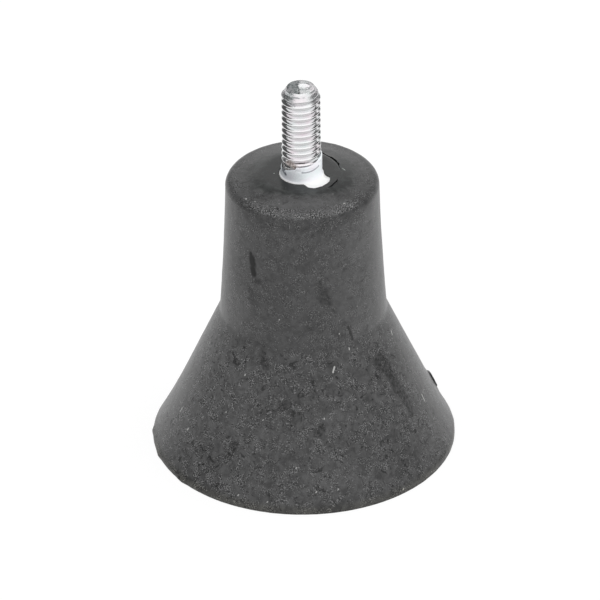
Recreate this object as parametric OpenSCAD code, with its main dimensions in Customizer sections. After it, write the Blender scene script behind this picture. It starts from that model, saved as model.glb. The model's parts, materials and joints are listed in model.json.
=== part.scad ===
// Rubber machine foot: a moulded rubber body that flares from a round neck to a
// wide skirt, with a threaded steel stud moulded into its top. It stands on the
// ring under the skirt. Millimetres, +Z up, origin at the middle of the floor face.

/* [Skirt] */
// Diameter of the foot over the edge that stands on the floor
base_d = 72.8; // [56:0.1:100]
// Height of the skirt, up to where it meets the neck
skirt_h = 35.7; // [22:0.1:56]
// Extra radius that the skirt gains in its flare near the floor
flare = 0.8; // [0.1:0.1:3]
// Height over which the skirt flares
flare_h = 13.9; // [7:0.1:20]
// Height of the thin upright land at the foot of the skirt
land_h = 0.5; // [0.3:0.05:1.5]

/* [Neck] */
// Height of the neck, from the skirt to the flat of the rim
neck_h = 36; // [22:0.1:67]
// Diameter of the neck where it meets the skirt
neck_root_d = 39.9; // [29:0.1:50]
// Diameter of the neck under the rounded rim
neck_top_d = 36.5; // [27:0.1:49]
// How far the side of the neck hollows in, halfway up
neck_bow = 0.2; // [0:0.05:0.6]
// Radius of the rounded rim
rim_r = 2.1; // [0.9:0.1:3.4]
// Radius of the soft corner between neck and skirt
waist_r = 4.5; // [1:0.5:9]

/* [Seat round the stud] */
// Diameter of the flat seat round the stud
seat_d = 19.5; // [19:0.1:22.4]
// Height of the seat above the flat of the rim
seat_rise = 1.2; // [0.3:0.1:2.2]
// Thickness of the rubber skin that covers the flange
skin_t = 0.35; // [0.2:0.05:0.9]
// Gap between the collar and the hole in the skin
collar_gap = 0.2; // [0.1:0.05:0.5]
// Width of the gap where the rubber has come away from the flange
edge_gap = 0.65; // [0.3:0.05:0.7]
// Depth of that gap below the seat
edge_gap_depth = 1.5; // [0.7:0.1:1.8]
// How far the torn patch of skin reaches from the stud's axis
tear_r = 7.3; // [5.8:0.1:8.5]

/* [Underside] */
// Diameter of the hollow under the foot
hollow_d = 49; // [22:1:54]
// Depth of the hollow
hollow_depth = 2.9; // [1:0.1:6.7]
// Run of the hollow's sloping edge
hollow_slope = 2; // [0.5:0.1:4.5]

/* [Mould marks] */
// How far the untrimmed flash stands out past the floor edge
flash_w = 0.2; // [0.1:0.05:0.5]
// Diameter of the torn gate mark on the skirt
gate_d = 4.8; // [2.5:0.1:6]
// How far the gate mark stands out from the skirt
gate_h = 0.7; // [0.3:0.1:1.7]
// Height of the gate mark above the floor
gate_z = 8.8; // [5:0.1:18]

/* [Threaded stud] */
// Outer diameter of the thread, 3/8 inch less its allowance
thread_d = 9.3; // [4.5:0.1:13.5]
// Height of the stud above the seat
stud_h = 23.4; // [15.7:0.1:45]
// Diameter of the flat end of the stud
end_d = 6.6; // [2.8:0.1:11]
// Length of the tapered lead on the end of the thread
lead_h = 2; // [0.6:0.1:3.4]
// Depth of the cup in the end of the stud
cup_depth = 0.4; // [0.1:0.05:1.1]
// Width of the rim left round that cup
cup_rim = 0.9; // [0.2:0.1:1.1]
// Diameter of the smooth collar under the thread
collar_d = 9.8; // [5.6:0.1:14.6]
// Height of the collar above the seat at the stud's axis
collar_h = 3.6; // [2.5:0.1:6.7]
// Tilt of the collar's top edge
collar_tilt = 21; // [0:1:24]
// Diameter of the shank where the thread runs out above the collar
runout_d = 8.8; // [4.3:0.1:13]
// Clear length between the collar's high side and the full thread
runout_gap = 0.3; // [0.1:0.1:1]
// Diameter of the flange under the skin
flange_d = 18; // [16:0.1:18.9]
// Thickness of the flange
flange_t = 1.8; // [1.1:0.1:3.4]
// Diameter of the shank inside the rubber
shank_d = 8; // [4.5:0.1:11]
// Length of the shank inside the rubber
shank_l = 11; // [4.5:0.5:18]
// Diameter of the anchor head at the end of the shank
anchor_d = 15.5; // [12:0.5:22]
// Thickness of the anchor head
anchor_t = 2.8; // [1.7:0.1:5.6]

/* [Hidden] */
$fn = 120;

// what lies past a face that is cut, so that no cut ends on it
over = 1;
curve_steps = 14;

base_r = base_d / 2;
root_r = neck_root_d / 2;
top_r = neck_top_d / 2;
foot_h = skirt_h + neck_h;
rim_z = foot_h - rim_r;
seat_r = seat_d / 2;
seat_z = foot_h + seat_rise;

flange_r = flange_d / 2;
flange_z = seat_z - skin_t;
shank_z = flange_z - flange_t;
anchor_z = shank_z - shank_l;
anchor_edge = 0.5;

collar_r = collar_d / 2;
thread_r = thread_d / 2;
end_r = end_d / 2;
stud_z = seat_z + stud_h;
cup_r = end_r - cup_rim;
cup_floor_r = 0.4 * cup_r;
lead_z = stud_z - lead_h;
collar_z = seat_z + collar_h;
runout_r = runout_d / 2;
runout_z = collar_z + collar_r * tan(collar_tilt) + runout_gap;

// corners of the knife-trimmed stretch of flash, as turns about the axis
trim_corners = [-180, -164, -144];

// the seat's two open stretches, and the torn patch of skin, as [from, to] turns
edge_gaps = [[8, 74], [-44, -12]];
tear_turns = [-78, -15];
gate_turn = 18;

// slope of the top, from the rim up to the seat
top_run = top_r - rim_r - seat_r;
top_slope = atan(seat_rise / top_run);

// the skirt's side as a straight cone with a flare near the floor
skirt_foot_r = base_r - flare;
skirt_slope = (skirt_foot_r - root_r) / (skirt_h - land_h);
flare_z = land_h + flare_h;

function skirt_r(z) =
    root_r + skirt_slope * (skirt_h - z)
    + (z < flare_z ? flare * pow((flare_z - z) / flare_h, 2) : 0);

// the neck's side, with its shallow hollow
function neck_r(t) = root_r + (top_r - root_r) * t - neck_bow * 4 * t * (1 - t);

function arc(x, y, r, from, to) =
    [for (i = [0 : curve_steps]) let (a = from + (to - from) * i / curve_steps)
        [x + r * cos(a), y + r * sin(a)]];

// the soft corner at the waist: its circle touches the skirt and the neck
neck_lean = atan((root_r - top_r + 4 * neck_bow) / (rim_z - skirt_h));
skirt_lean = atan(skirt_slope);
waist_turn = skirt_lean - neck_lean;
waist_run = waist_r * tan(waist_turn / 2);
waist_top = [root_r - waist_run * sin(neck_lean), skirt_h + waist_run * cos(neck_lean)];
waist_centre = waist_top + waist_r * [cos(neck_lean), sin(neck_lean)];

// outline of the rubber, from the axis along the floor and up to the seat
module rubber_outline() {
    flare_side = [for (i = [0 : curve_steps])
        let (z = land_h + flare_h * i / curve_steps) [skirt_r(z), z]];
    waist_side = arc(waist_centre.x, waist_centre.y, waist_r,
                     180 + skirt_lean, 180 + neck_lean);
    neck_side = [for (i = [1 : curve_steps])
        let (t = i / curve_steps) [neck_r(t), skirt_h + (rim_z - skirt_h) * t]];
    rim_side = [
        [top_r - rim_r + rim_r * sin(top_slope), rim_z + rim_r * cos(top_slope)],
        [seat_r, seat_z],
        [0, seat_z]
    ];
    polygon(concat([[0, 0], [base_r, 0]], flare_side, waist_side,
                   neck_side, rim_side));
    translate([top_r - rim_r, rim_z]) circle(r = rim_r);
}

// a thin ring of flash at the floor edge, trimmed along straight cuts on one side
module trimmed_flash() {
    flash_r = base_r + flash_w;
    difference() {
        cylinder(r = flash_r, h = land_h);
        for (i = [0 : len(trim_corners) - 2]) {
            half = (trim_corners[i + 1] - trim_corners[i]) / 2;
            middle = (trim_corners[i + 1] + trim_corners[i]) / 2;
            rotate(middle)
                translate([flash_r * cos(half), -flash_r, -over])
                    cube([flash_r, 2 * flash_r, land_h + 2 * over]);
        }
    }
}

// the torn-off gate, a low round nub square to the skirt's side
module gate_mark() {
    rotate(gate_turn)
        translate([skirt_r(gate_z), 0, gate_z])
            rotate([0, 90 - skirt_lean, 0])
                translate([0, 0, -over])
                    cylinder(d = gate_d, h = gate_h + over);
}

module underside_hollow() {
    translate([0, 0, -over])
        cylinder(r1 = hollow_d / 2 + hollow_slope * over / hollow_depth,
                 r2 = hollow_d / 2 - hollow_slope, h = hollow_depth + over);
}

// a part of a ring about the axis, between two radii and two turns
module ring_part(inner, outer, z, h, turns) {
    rotate(turns[0])
        rotate_extrude(angle = turns[1] - turns[0])
            translate([inner, z]) square([outer - inner, h]);
}

// the moulding as it leaves the mould, with the stud's form in its top
module whole_moulding() {
    difference() {
        union() {
            rotate_extrude() rubber_outline();
            trimmed_flash();
            gate_mark();
        }
        underside_hollow();
        stud_form();
    }
}

module rubber_body() {
    color([0.28, 0.28, 0.29])
    difference() {
        whole_moulding();
        // the hole in the skin round the collar
        translate([0, 0, flange_z])
            cylinder(r = collar_r + collar_gap, h = skin_t + over);
        // the patch of skin that is torn away from the flange
        ring_part(collar_r, tear_r, flange_z, skin_t + over, tear_turns);
        for (turns = edge_gaps)
            ring_part(flange_r, flange_r + edge_gap, seat_z - edge_gap_depth,
                      edge_gap_depth + over, turns);
    }
}

// outline of the stud: anchor head, shank, flange, run-out, thread and lead
module stud_outline() {
    polygon([
        [0, anchor_z - anchor_t],
        [anchor_d / 2 - anchor_edge, anchor_z - anchor_t],
        [anchor_d / 2, anchor_z - anchor_t + anchor_edge],
        [anchor_d / 2, anchor_z - anchor_edge],
        [anchor_d / 2 - anchor_edge, anchor_z],
        [shank_d / 2, anchor_z],
        [shank_d / 2, shank_z],
        [flange_r, shank_z],
        [flange_r, flange_z],
        [runout_r, flange_z],
        [runout_r, runout_z],
        [thread_r, runout_z + thread_r - runout_r],
        [thread_r, lead_z],
        [end_r, stud_z],
        [0, stud_z]
    ]);
}

module stud_form() {
    rotate_extrude() stud_outline();
    // the smooth collar, with its top edge cut at a slant
    difference() {
        translate([0, 0, flange_z])
            cylinder(r = collar_r, h = 2 * collar_h + skin_t);
        translate([0, 0, collar_z])
            rotate([0, -collar_tilt, 0])
                translate([-collar_d, -collar_d, 0])
                    cube([2 * collar_d, 2 * collar_d, 2 * collar_d]);
    }
}

module threaded_stud() {
    color([0.78, 0.79, 0.81])
    difference() {
        stud_form();
        // the shallow cup that rolling leaves in the end
        rotate_extrude()
            polygon([
                [0, stud_z - cup_depth],
                [cup_floor_r, stud_z - cup_depth],
                [cup_r, stud_z],
                [cup_r, stud_z + over],
                [0, stud_z + over]
            ]);
    }
}

rubber_body();
threaded_stud();
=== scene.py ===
"""Looks of a rubber machine foot with a threaded steel stud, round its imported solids.

Metres, +Z up, floor at z = 0. The sizes below are in millimetres, heights are above the
floor, and turns are in degrees about +Z from +X.
"""

import json
import math
from functools import partial
from types import SimpleNamespace

import bmesh
import bpy
import numpy as np
from mathutils import Matrix, Vector, noise


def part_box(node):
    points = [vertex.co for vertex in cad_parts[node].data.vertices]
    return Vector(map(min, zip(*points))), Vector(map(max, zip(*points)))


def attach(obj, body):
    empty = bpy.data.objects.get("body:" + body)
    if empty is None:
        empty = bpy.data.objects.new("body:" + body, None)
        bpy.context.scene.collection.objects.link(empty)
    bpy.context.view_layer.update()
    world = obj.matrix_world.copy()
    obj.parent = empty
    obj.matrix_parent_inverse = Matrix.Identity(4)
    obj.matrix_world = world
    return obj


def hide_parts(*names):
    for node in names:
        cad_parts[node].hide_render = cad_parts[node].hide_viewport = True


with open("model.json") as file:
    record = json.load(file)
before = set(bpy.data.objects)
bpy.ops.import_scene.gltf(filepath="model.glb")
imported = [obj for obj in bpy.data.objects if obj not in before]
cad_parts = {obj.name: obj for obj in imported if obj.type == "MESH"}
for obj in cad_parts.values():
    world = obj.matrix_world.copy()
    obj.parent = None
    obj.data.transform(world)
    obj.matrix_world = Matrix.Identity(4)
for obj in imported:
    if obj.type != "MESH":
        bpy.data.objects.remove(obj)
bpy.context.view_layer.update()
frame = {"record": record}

MM = 0.001


def in_mm(metres):
    """A length of the frame in millimetres, without the noise of its last digits."""
    return round(metres / MM, 2)


# what the frame gives: how far its solids reach, and the mount on the thread
rubber_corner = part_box("rubber_body")[1]
stud_foot, stud_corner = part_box("threaded_stud")
pin_mount = next(mount for mount in frame["record"]["mounts"] if mount["kind"] == "pin")
FLASH_R = in_mm(rubber_corner.x)
SEAT_Z = in_mm(rubber_corner.z)
FLANGE_R = in_mm(stud_corner.x)
STUD_Z = in_mm(stud_corner.z)
ANCHOR_FLOOR_Z = in_mm(stud_foot.z)
CREST_R = pin_mount["dims"]["r_mm"]

# rubber body
FLASH_W = 0.2
BASE_R = FLASH_R - FLASH_W
SKIRT_H = 35.7
FLARE = 0.8
FLARE_H = 13.9
LAND_H = 0.5
ROOT_R = 19.95
TOP_R = 18.25
NECK_BOW = 0.22
RIM_R = 2.1
SEAT_RISE = 1.2
RIM_Z = SEAT_Z - SEAT_RISE - RIM_R
WAIST_R = 4.5
SEAT_R = 9.75
HOLLOW_R = 24.5
HOLLOW_DEPTH = 2.9
HOLLOW_SLOPE = 2.0
FLOOR_EDGE_R = 36.24
OFF_CENTRE = 0.19
OFF_CENTRE_TURN = -160.0
# turns of the points that a knife left in the flash, and their size
TRIM_POINTS = (-181.0, -164.0, -144.0)
POINT_R = 0.26
POINT_TURN = 3.6
GATE_TURN = 18.0
GATE_Z = 8.5
GATE_R = 2.2
GATE_H = 0.5

# seat round the stud
SEAT_EDGE_R = SEAT_R + 2.1
HOLE_R = 5.3
# the crack round the seat: its depth, how wide it stands where it is as deep as that, and
# how wide it stays where it is shut
CRACK_DEPTH = 1.4
DEEP_CRACK_W = 0.3
SHUT_CRACK_W = 0.012
# turn and radius of the crack's inner side
CRACK_PATH = ((-90, 9.05), (-60, 8.9), (-46, 9.25), (-40, 9.15), (-34, 9.0), (-26, 9.05),
              (-12, 9.15), (8, 9.2), (20, 9.27), (35, 9.42), (50, 9.66), (62, 10.2),
              (74, 10.6), (100, 9.05))
# turn and width of the crack where it stands open
CRACK_WIDTH = ((-50, 0), (-44, 0.3), (-36, 0.38), (-26, 0.34), (-19, 0), (5, 0), (10, 0.08),
               (18, 0.16), (24, 0.4), (32, 0.5), (42, 0.46), (47, 0.26), (55, 0.22),
               (59, 0.42), (65, 0.45), (71, 0.3), (84, 0))
# turn and radius of the edge of the patch of skin that is torn away
TEAR_EDGE = ((-85, HOLE_R), (-82.5, 5.6), (-80, 6.2), (-77.3, 6.85), (-73.2, 7.22),
             (-70, 7.53), (-65, 7.75), (-57.2, 7.78), (-50.4, 7.73), (-44.9, 7.81),
             (-35.1, 7.64), (-27.8, 7.47), (-17.4, 7.06), (-14.5, 6.57), (-13.4, 6.06),
             (-7.5, 5.54), (0, HOLE_R))

# marks of wear on the side, each as (turn, height, turn, height, half width): a deep
# scuff, soft dark rubs and pale flecks
SCUFF = ((-131.4, 59.2, -130.3, 57.8, 0.6), (-130.2, 58.0, -129.3, 56.6, 1.2),
         (-129.2, 55.4, -128.2, 54.0, 1.0), (-57.6, 40.2, -54.4, 36.4, 0.42))
DARK_RUBS = ((-127.8, 52.2, -121.5, 52.4, 0.9), (-79.4, 55.0, -77.4, 52.6, 0.5),
             (-130.5, 49.4, -130.8, 46.8, 1.1),
             (-75.8, 51.2, -72.8, 47.6, 1.5), (-77.8, 49.8, -74.6, 48.0, 1.2),
             (-60.8, 41.8, -58.6, 40.9, 0.8), (-97.5, 32.6, -94.6, 33.0, 0.7),
             (-34.0, 26.5, -32.6, 21.0, 2.0), (-37.4, 28.8, -35.0, 26.8, 2.6),
             (-31.6, 20.4, -29.4, 17.0, 2.0), (-101.8, 23.1, -99.0, 23.6, 1.2),
             (-83.4, 17.4, -81.6, 18.4, 1.3), (-124.4, 11.0, -123.6, 12.8, 1.4),
             (-30.0, 14.2, -28.8, 17.0, 1.3), (-118.6, 33.6, -114.0, 31.4, 1.2))
SIDE_FLECKS = ((-72.1, 30.4, -70.7, 31.5, 0.25), (-127.0, 28.1, -126.9, 28.4, 0.18),
               (-164.7, 11.4, -164.4, 12.4, 0.17), (-153.0, 10.1, -152.8, 10.4, 0.25),
               (-15.4, 13.5, -15.1, 15.2, 0.16), (-58.4, 34.3, -58.3, 34.7, 0.15),
               (-16.2, 31.2, -15.0, 32.0, 0.20), (-107.3, 43.5, -107.2, 43.6, 0.16),
               (-167.2, 28.7, -167.1, 28.9, 0.14), (-64.8, 38.9, -64.7, 39.1, 0.13),
               (-80.0, 20.5, -79.8, 20.7, 0.14), (-111.4, 19.6, -111.1, 19.8, 0.15),
               (-132.7, 18.7, -132.6, 18.9, 0.12), (-93.9, 10.0, -93.6, 10.2, 0.13),
               (-117.0, 2.5, -116.7, 2.7, 0.14), (-104.9, 2.3, -104.6, 2.5, 0.13),
               (-85.7, 4.8, -85.4, 5.0, 0.15), (-76.8, 4.9, -76.5, 5.1, 0.14),
               (-49.7, 1.1, -49.3, 1.3, 0.14), (-33.4, 0.9, -33.0, 1.0, 0.14))
# pale flecks on the top, as (turn, radius, turn, radius, half width)
TOP_FLECKS = ((-144.3, 16.3, -143.4, 16.5, 0.2), (-135.4, 15.7, -134.9, 15.7, 0.15),
              (-51.9, 15.8, -51.2, 15.8, 0.22), (-177.6, 6.6, -177.3, 6.7, 0.14),
              (11.5, 9.7, 6.0, 10.2, 0.10))

# threaded stud
STUD_ASIDE = -0.15
PITCH = 1.5875
THREAD_DEPTH = 0.9
THREAD_FOOT_Z = SEAT_Z + 1.25
LEAD_H = 2.0
END_R = 3.3
FIRST_CREST_Z = STUD_Z - 2.7
COLLAR_R = 4.9
COLLAR_FILLET = 1.1
# turn and height of the collar's top edge, with its step at the front
COLLAR_LIP = ((-180, 74.6), (-165, 74.7), (-150, 75.0), (-132, 75.55), (-119, 75.95),
              (-108.5, 76.25), (-105.5, 76.9), (-87, 76.85), (-68, 77.05), (-56, 77.3),
              (-41, 77.65), (-28, 78.05), (0, 78.3), (30, 78.05), (60, 77.4), (90, 76.5),
              (120, 75.6), (150, 74.95), (180, 74.6))
# turn and height of a scratch that runs round the front of the collar
COLLAR_SCRATCH = ((-88, 75.75), (-80, 75.7), (-70, 75.75), (-60, 75.85), (-48, 76.05),
                  (-34, 76.35))
SKIN_T = 0.35
FLANGE_Z = SEAT_Z - SKIN_T
FLANGE_T = 1.8
SHANK_R = 4.0
ANCHOR_R = 7.75
ANCHOR_T = 2.8
ANCHOR_Z = ANCHOR_FLOOR_Z + ANCHOR_T
ANCHOR_EDGE = 0.5
SHANK_Z = FLANGE_Z - FLANGE_T
LEAD_Z = STUD_Z - LEAD_H
LEAD_GROOVE = 0.26
RUNOUT_Z = SEAT_Z + 3.6
RUNOUT_TILT = 0.7
# the sheared end: its drop below the top, its low pip and a ring of painted shade round it
END_DROP = 0.11
PIP = (0.7, 0.3)
PIP_R = 1.4
PIP_H = 0.035
SHADE_RING = (0.7, 0.5)
SHADE_RING_R = 1.6
STUD_COLUMNS = 120
ROWS_PER_PITCH = 16
# places of the two finishes among the stud's materials
BRIGHT = 0
SATIN = 1

# heights between which the neck's finish gives way to the skirt's
WAIST_BAND = (37.0, 33.0)
# how much the mottling takes from the bloom's film, and adds to it
MOTTLE_SPAN = (-0.13, 0.17)

# camera: its turns in degrees, places in metres, lens and sensor in millimetres
CAMERA_ELEVATION = 32.193
CAMERA_ROLL = -0.55
CAMERA_DISTANCE = 2.016
CAMERA_TARGET = (0.0, 0.0, 0.0336)
AIM_RIGHT = -0.00081
AIM_UP = 0.00319
LENS = 507.2
SENSOR = 36.0

# floor: how far it reaches from the middle, in metres, and how it glows to the camera, so
# that it stays white and keeps its shadow
FLOOR_REACH = 1.7
FLOOR_GLOW = 1.06
GLOW_SHARE = 0.82


# ---------------------------------------------------------------- node helpers

def feed(tree, socket, value):
    """Sets a socket to a number, or joins another socket to it."""
    if isinstance(value, bpy.types.NodeSocket):
        tree.links.new(value, socket)
    else:
        socket.default_value = value


def put(tree, kind, inputs=None, **settings):
    """Adds a node with its settings and inputs, which are named or numbered."""
    node = tree.nodes.new(kind)
    for name, value in settings.items():
        setattr(node, name, value)
    for key, value in (inputs or {}).items():
        feed(tree, node.inputs[key], value)
    return node


def calc(tree, operation, *values, clamp=False):
    """One step of arithmetic."""
    return put(tree, "ShaderNodeMath", dict(enumerate(values)),
               operation=operation, use_clamp=clamp).outputs[0]


def ramp(tree, value, low, high, to_low=0.0, to_high=1.0, kind="SMOOTHSTEP"):
    """Turns a value between low and high into one between two others."""
    inputs = {"Value": value, "From Min": low, "From Max": high,
              "To Min": to_low, "To Max": to_high}
    return put(tree, "ShaderNodeMapRange", inputs, interpolation_type=kind).outputs[0]


def steps(tree):
    """Short names in one tree for times, plus, minus, the larger of two, and a ramp."""
    kinds = ("MULTIPLY", "ADD", "SUBTRACT", "MAXIMUM")
    return (*(partial(calc, tree, kind) for kind in kinds), partial(ramp, tree))


def blend_colours(tree, amount, first, second, kind="MIX"):
    """The first colour, with that amount of the second over it."""
    node = put(tree, "ShaderNodeMix", data_type="RGBA", blend_type=kind)
    feed(tree, node.inputs["Factor"], amount)
    feed(tree, node.inputs[6], first)
    feed(tree, node.inputs[7], second)
    return node.outputs[2]


def tinge(tree, amount, colour, tint):
    """The colour with that amount of a tint multiplied into it."""
    return blend_colours(tree, amount, colour, tint, "MULTIPLY")


def grain(tree, place, scale, detail=2.0, roughness=0.5, distortion=0.0):
    """Soft noise about 1/scale millimetres across."""
    inputs = {"Vector": place, "Scale": scale, "Detail": detail,
              "Roughness": roughness, "Distortion": distortion}
    return put(tree, "ShaderNodeTexNoise", inputs).outputs[0]


def grey(value, blue=0.0):
    """A grey, or with some blue added or taken away a cold or warm one."""
    return (value, value, value + blue, 1.0)


SOOT = grey(0.006)


# ---------------------------------------------------------------- mesh helpers

def make_piece(name, mesh, material, sharp_angle=35.0):
    """Puts a closed mesh in the scene with its faces outward and its corners sharp."""
    shell = bmesh.new()
    shell.from_mesh(mesh)
    bmesh.ops.remove_doubles(shell, verts=shell.verts, dist=2e-6)
    bmesh.ops.dissolve_degenerate(shell, edges=shell.edges, dist=1e-6)
    bmesh.ops.recalc_face_normals(shell, faces=shell.faces)
    for face in shell.faces:
        face.smooth = True
    limit = math.radians(sharp_angle)
    for edge in shell.edges:
        edge.smooth = len(edge.link_faces) == 2 and edge.calc_face_angle() < limit
    shell.to_mesh(mesh)
    shell.free()
    mesh.name = name
    piece = bpy.data.objects.new(name, mesh)
    bpy.context.collection.objects.link(piece)
    if material:
        mesh.materials.append(material)
    return piece


def wrap_rings(mesh_name, turns, rings, first_pole, last_pole):
    """A closed mesh from rings of (radius, height), each an array over the turns."""
    angles = np.radians(turns)
    count = len(turns)
    points = [(0.0, 0.0, first_pole * MM)]
    for radius, height in rings:
        radius = np.broadcast_to(radius, count)
        height = np.broadcast_to(height, count)
        points += list(zip(radius * np.cos(angles) * MM, radius * np.sin(angles) * MM,
                           height * MM))
    points.append((0.0, 0.0, last_pole * MM))
    faces = []
    last = len(points) - 1
    for column in range(count):
        following = (column + 1) % count
        faces.append((0, 1 + column, 1 + following))
        for ring in range(len(rings) - 1):
            start = 1 + ring * count
            faces.append((start + column, start + count + column,
                          start + count + following, start + following))
        start = 1 + (len(rings) - 1) * count
        faces.append((start + column, last, start + following))
    mesh = bpy.data.meshes.new(mesh_name)
    mesh.from_pydata(points, [], faces)
    return mesh


def smooth_step(value, low, high):
    share = np.clip((value - low) / (high - low), 0.0, 1.0)
    return share * share * (3 - 2 * share)


def turn_from(turns, middle):
    """How far each turn is from a middle one, from -180 to 180."""
    return (turns - middle + 180.0) % 360.0 - 180.0


def between_turns(turns, start, end, fade):
    """1 between two turns, fading to 0 at both ends."""
    half = (end - start) / 2
    off = np.abs(turn_from(turns, (start + end) / 2))
    return 1 - smooth_step(off, half - fade, half)


# ---------------------------------------------------------------- rubber body

SKIRT_SLOPE = (BASE_R - FLARE - ROOT_R) / (SKIRT_H - LAND_H)
TOP_SLOPE = (SEAT_Z - RIM_Z - RIM_R) / (TOP_R - RIM_R - SEAT_R)


def skirt_radius(z):
    flare_z = LAND_H + FLARE_H
    below = np.clip((flare_z - z) / FLARE_H, 0.0, 1.0)
    return ROOT_R + SKIRT_SLOPE * (SKIRT_H - z) + FLARE * below ** 2


def neck_radius(z):
    share = (z - SKIRT_H) / (RIM_Z - SKIRT_H)
    return ROOT_R + (TOP_R - ROOT_R) * share - NECK_BOW * 4 * share * (1 - share)


def top_height(radius):
    """Height of the top, which rounds over softly from the seat to its slope."""
    soft = 0.6
    return SEAT_Z - TOP_SLOPE * soft * np.log1p(np.exp((radius - SEAT_R) / soft))


def rubber_turns():
    """Turns of the columns, closer together over the gate mark."""
    step, fine = 0.75, 0.34
    reach = 7.0
    near = np.arange(GATE_TURN - reach, GATE_TURN + reach, fine)
    far = np.linspace(GATE_TURN + reach, GATE_TURN - reach + 360.0,
                      int((360 - 2 * reach) / step), endpoint=False)
    return np.concatenate([near, far])


def off_centre(turns):
    """How far the floor edge lies off its circle, from the way the foot shrank."""
    return OFF_CENTRE * np.cos(np.radians(turns - OFF_CENTRE_TURN))


def floor_edge_radius(turns):
    """Radius of the land: the flash all round, with points where it was trimmed."""
    radius = FLOOR_EDGE_R + off_centre(turns)
    radius = radius + 0.06 * ragged(turns, 3, 7.0) + 0.05 * ragged(turns, 21, 3.0)
    for point in TRIM_POINTS:
        off = np.abs(turn_from(turns, point))
        radius = radius + POINT_R * np.clip(1 - off / POINT_TURN, 0.0, 1.0)
    return radius


def ragged(turns, scale, seed):
    return np.array([noise.noise(Vector((math.cos(t) * scale, math.sin(t) * scale, seed)))
                     for t in np.radians(turns)])


def along(table, turns):
    """A value read from a table of turns, with straight steps between them."""
    return np.interp(turn_from(turns, 0.0), [row[0] for row in table],
                     [row[1] for row in table])


def torn_hole_radius(turns):
    """Edge of the hole in the skin: close round the collar, torn away on one side."""
    radius = along(TEAR_EDGE, turns)
    torn = np.clip((radius - HOLE_R) / 0.6, 0.0, 1.0)
    return radius + ragged(turns, 12, 1.0) * (0.04 + 0.08 * torn)


def gate_mark(turns, z):
    """How far the torn gate stands out of the skirt at one height."""
    lean = math.atan(SKIRT_SLOPE)
    across = np.radians(turn_from(turns, GATE_TURN)) * skirt_radius(z)
    up_side = (z - GATE_Z) / math.cos(lean)
    away = np.hypot(across, up_side)
    plateau = 1 - smooth_step(away, GATE_R - 0.22, GATE_R + 0.02)
    torn = 0.5 + 0.5 * np.clip((up_side + 2.0) / 3.4, 0, 1) + 0.05 * np.cos(4 * across + 1)
    swell = 0.2 * (1 - smooth_step(away, GATE_R - 0.5, GATE_R + 2.4))
    return swell + GATE_H * plateau * torn


def underside_rings(turns):
    """The hollow from its middle out, the ring that stands on the floor, and the land."""
    edge = floor_edge_radius(turns)
    inner_r = HOLLOW_R - HOLLOW_SLOPE
    rings = [(r, HOLLOW_DEPTH) for r in (5.5, 11.0, 16.5, 20.5, inner_r - 0.4)]
    rings += [(inner_r + 0.1, HOLLOW_DEPTH - 0.12), (HOLLOW_R - 0.25, 0.3),
              (HOLLOW_R + 0.15, 0.03), (HOLLOW_R + 0.7, 0.0)]
    rings += [(r, 0.0) for r in (28.0, 31.5, 34.8)]
    rings += [(edge - 0.3, 0.0), (edge - 0.06, 0.03), (edge, 0.12),
              (edge, LAND_H - 0.1), (edge - 0.05, LAND_H - 0.02),
              (np.minimum(edge - 0.05, skirt_radius(LAND_H) + off_centre(turns) - 0.05),
               LAND_H + 0.1)]
    return rings


def skirt_rings(turns):
    """The skirt's side, with its rings closer together over the gate mark."""
    gate_low, gate_high = GATE_Z - 2.5, GATE_Z + 2.5
    waist_low = SKIRT_H - 1.4
    heights = np.concatenate([
        np.linspace(LAND_H + 0.5, gate_low, 9, endpoint=False),
        np.linspace(gate_low, gate_high, 24, endpoint=False),
        np.linspace(gate_high, waist_low, 19)])
    shift = off_centre(turns)
    return [(skirt_radius(z) + shift * max(0.0, 1 - z / 1.5) + gate_mark(turns, z), z)
            for z in heights]


def waist_rings():
    """The soft corner where the neck rises from the skirt."""
    neck_lean = math.atan((ROOT_R - TOP_R + 4 * NECK_BOW) / (RIM_Z - SKIRT_H))
    skirt_lean = math.atan(SKIRT_SLOPE)
    run = WAIST_R * math.tan((skirt_lean - neck_lean) / 2)
    centre_r = ROOT_R - run * math.sin(neck_lean) + WAIST_R * math.cos(neck_lean)
    centre_z = SKIRT_H + run * math.cos(neck_lean) + WAIST_R * math.sin(neck_lean)
    return [(centre_r - WAIST_R * math.cos(lean), centre_z - WAIST_R * math.sin(lean))
            for lean in np.linspace(skirt_lean, neck_lean, 8)]


def neck_rings():
    """The neck's side, its rounded rim and the slope that rises to the seat."""
    rings = [(neck_radius(z), z) for z in np.linspace(SKIRT_H + 2.0, RIM_Z - 0.7, 26)]
    for swing in np.linspace(0.0, math.pi / 2 - math.atan(TOP_SLOPE), 13):
        rings.append((TOP_R - RIM_R + RIM_R * math.cos(swing),
                      RIM_Z + RIM_R * math.sin(swing)))
    first_top = rings[-1][0]
    rings += [(r, top_height(r)) for r in np.linspace(first_top - 0.5, SEAT_EDGE_R, 7)]
    return rings


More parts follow.
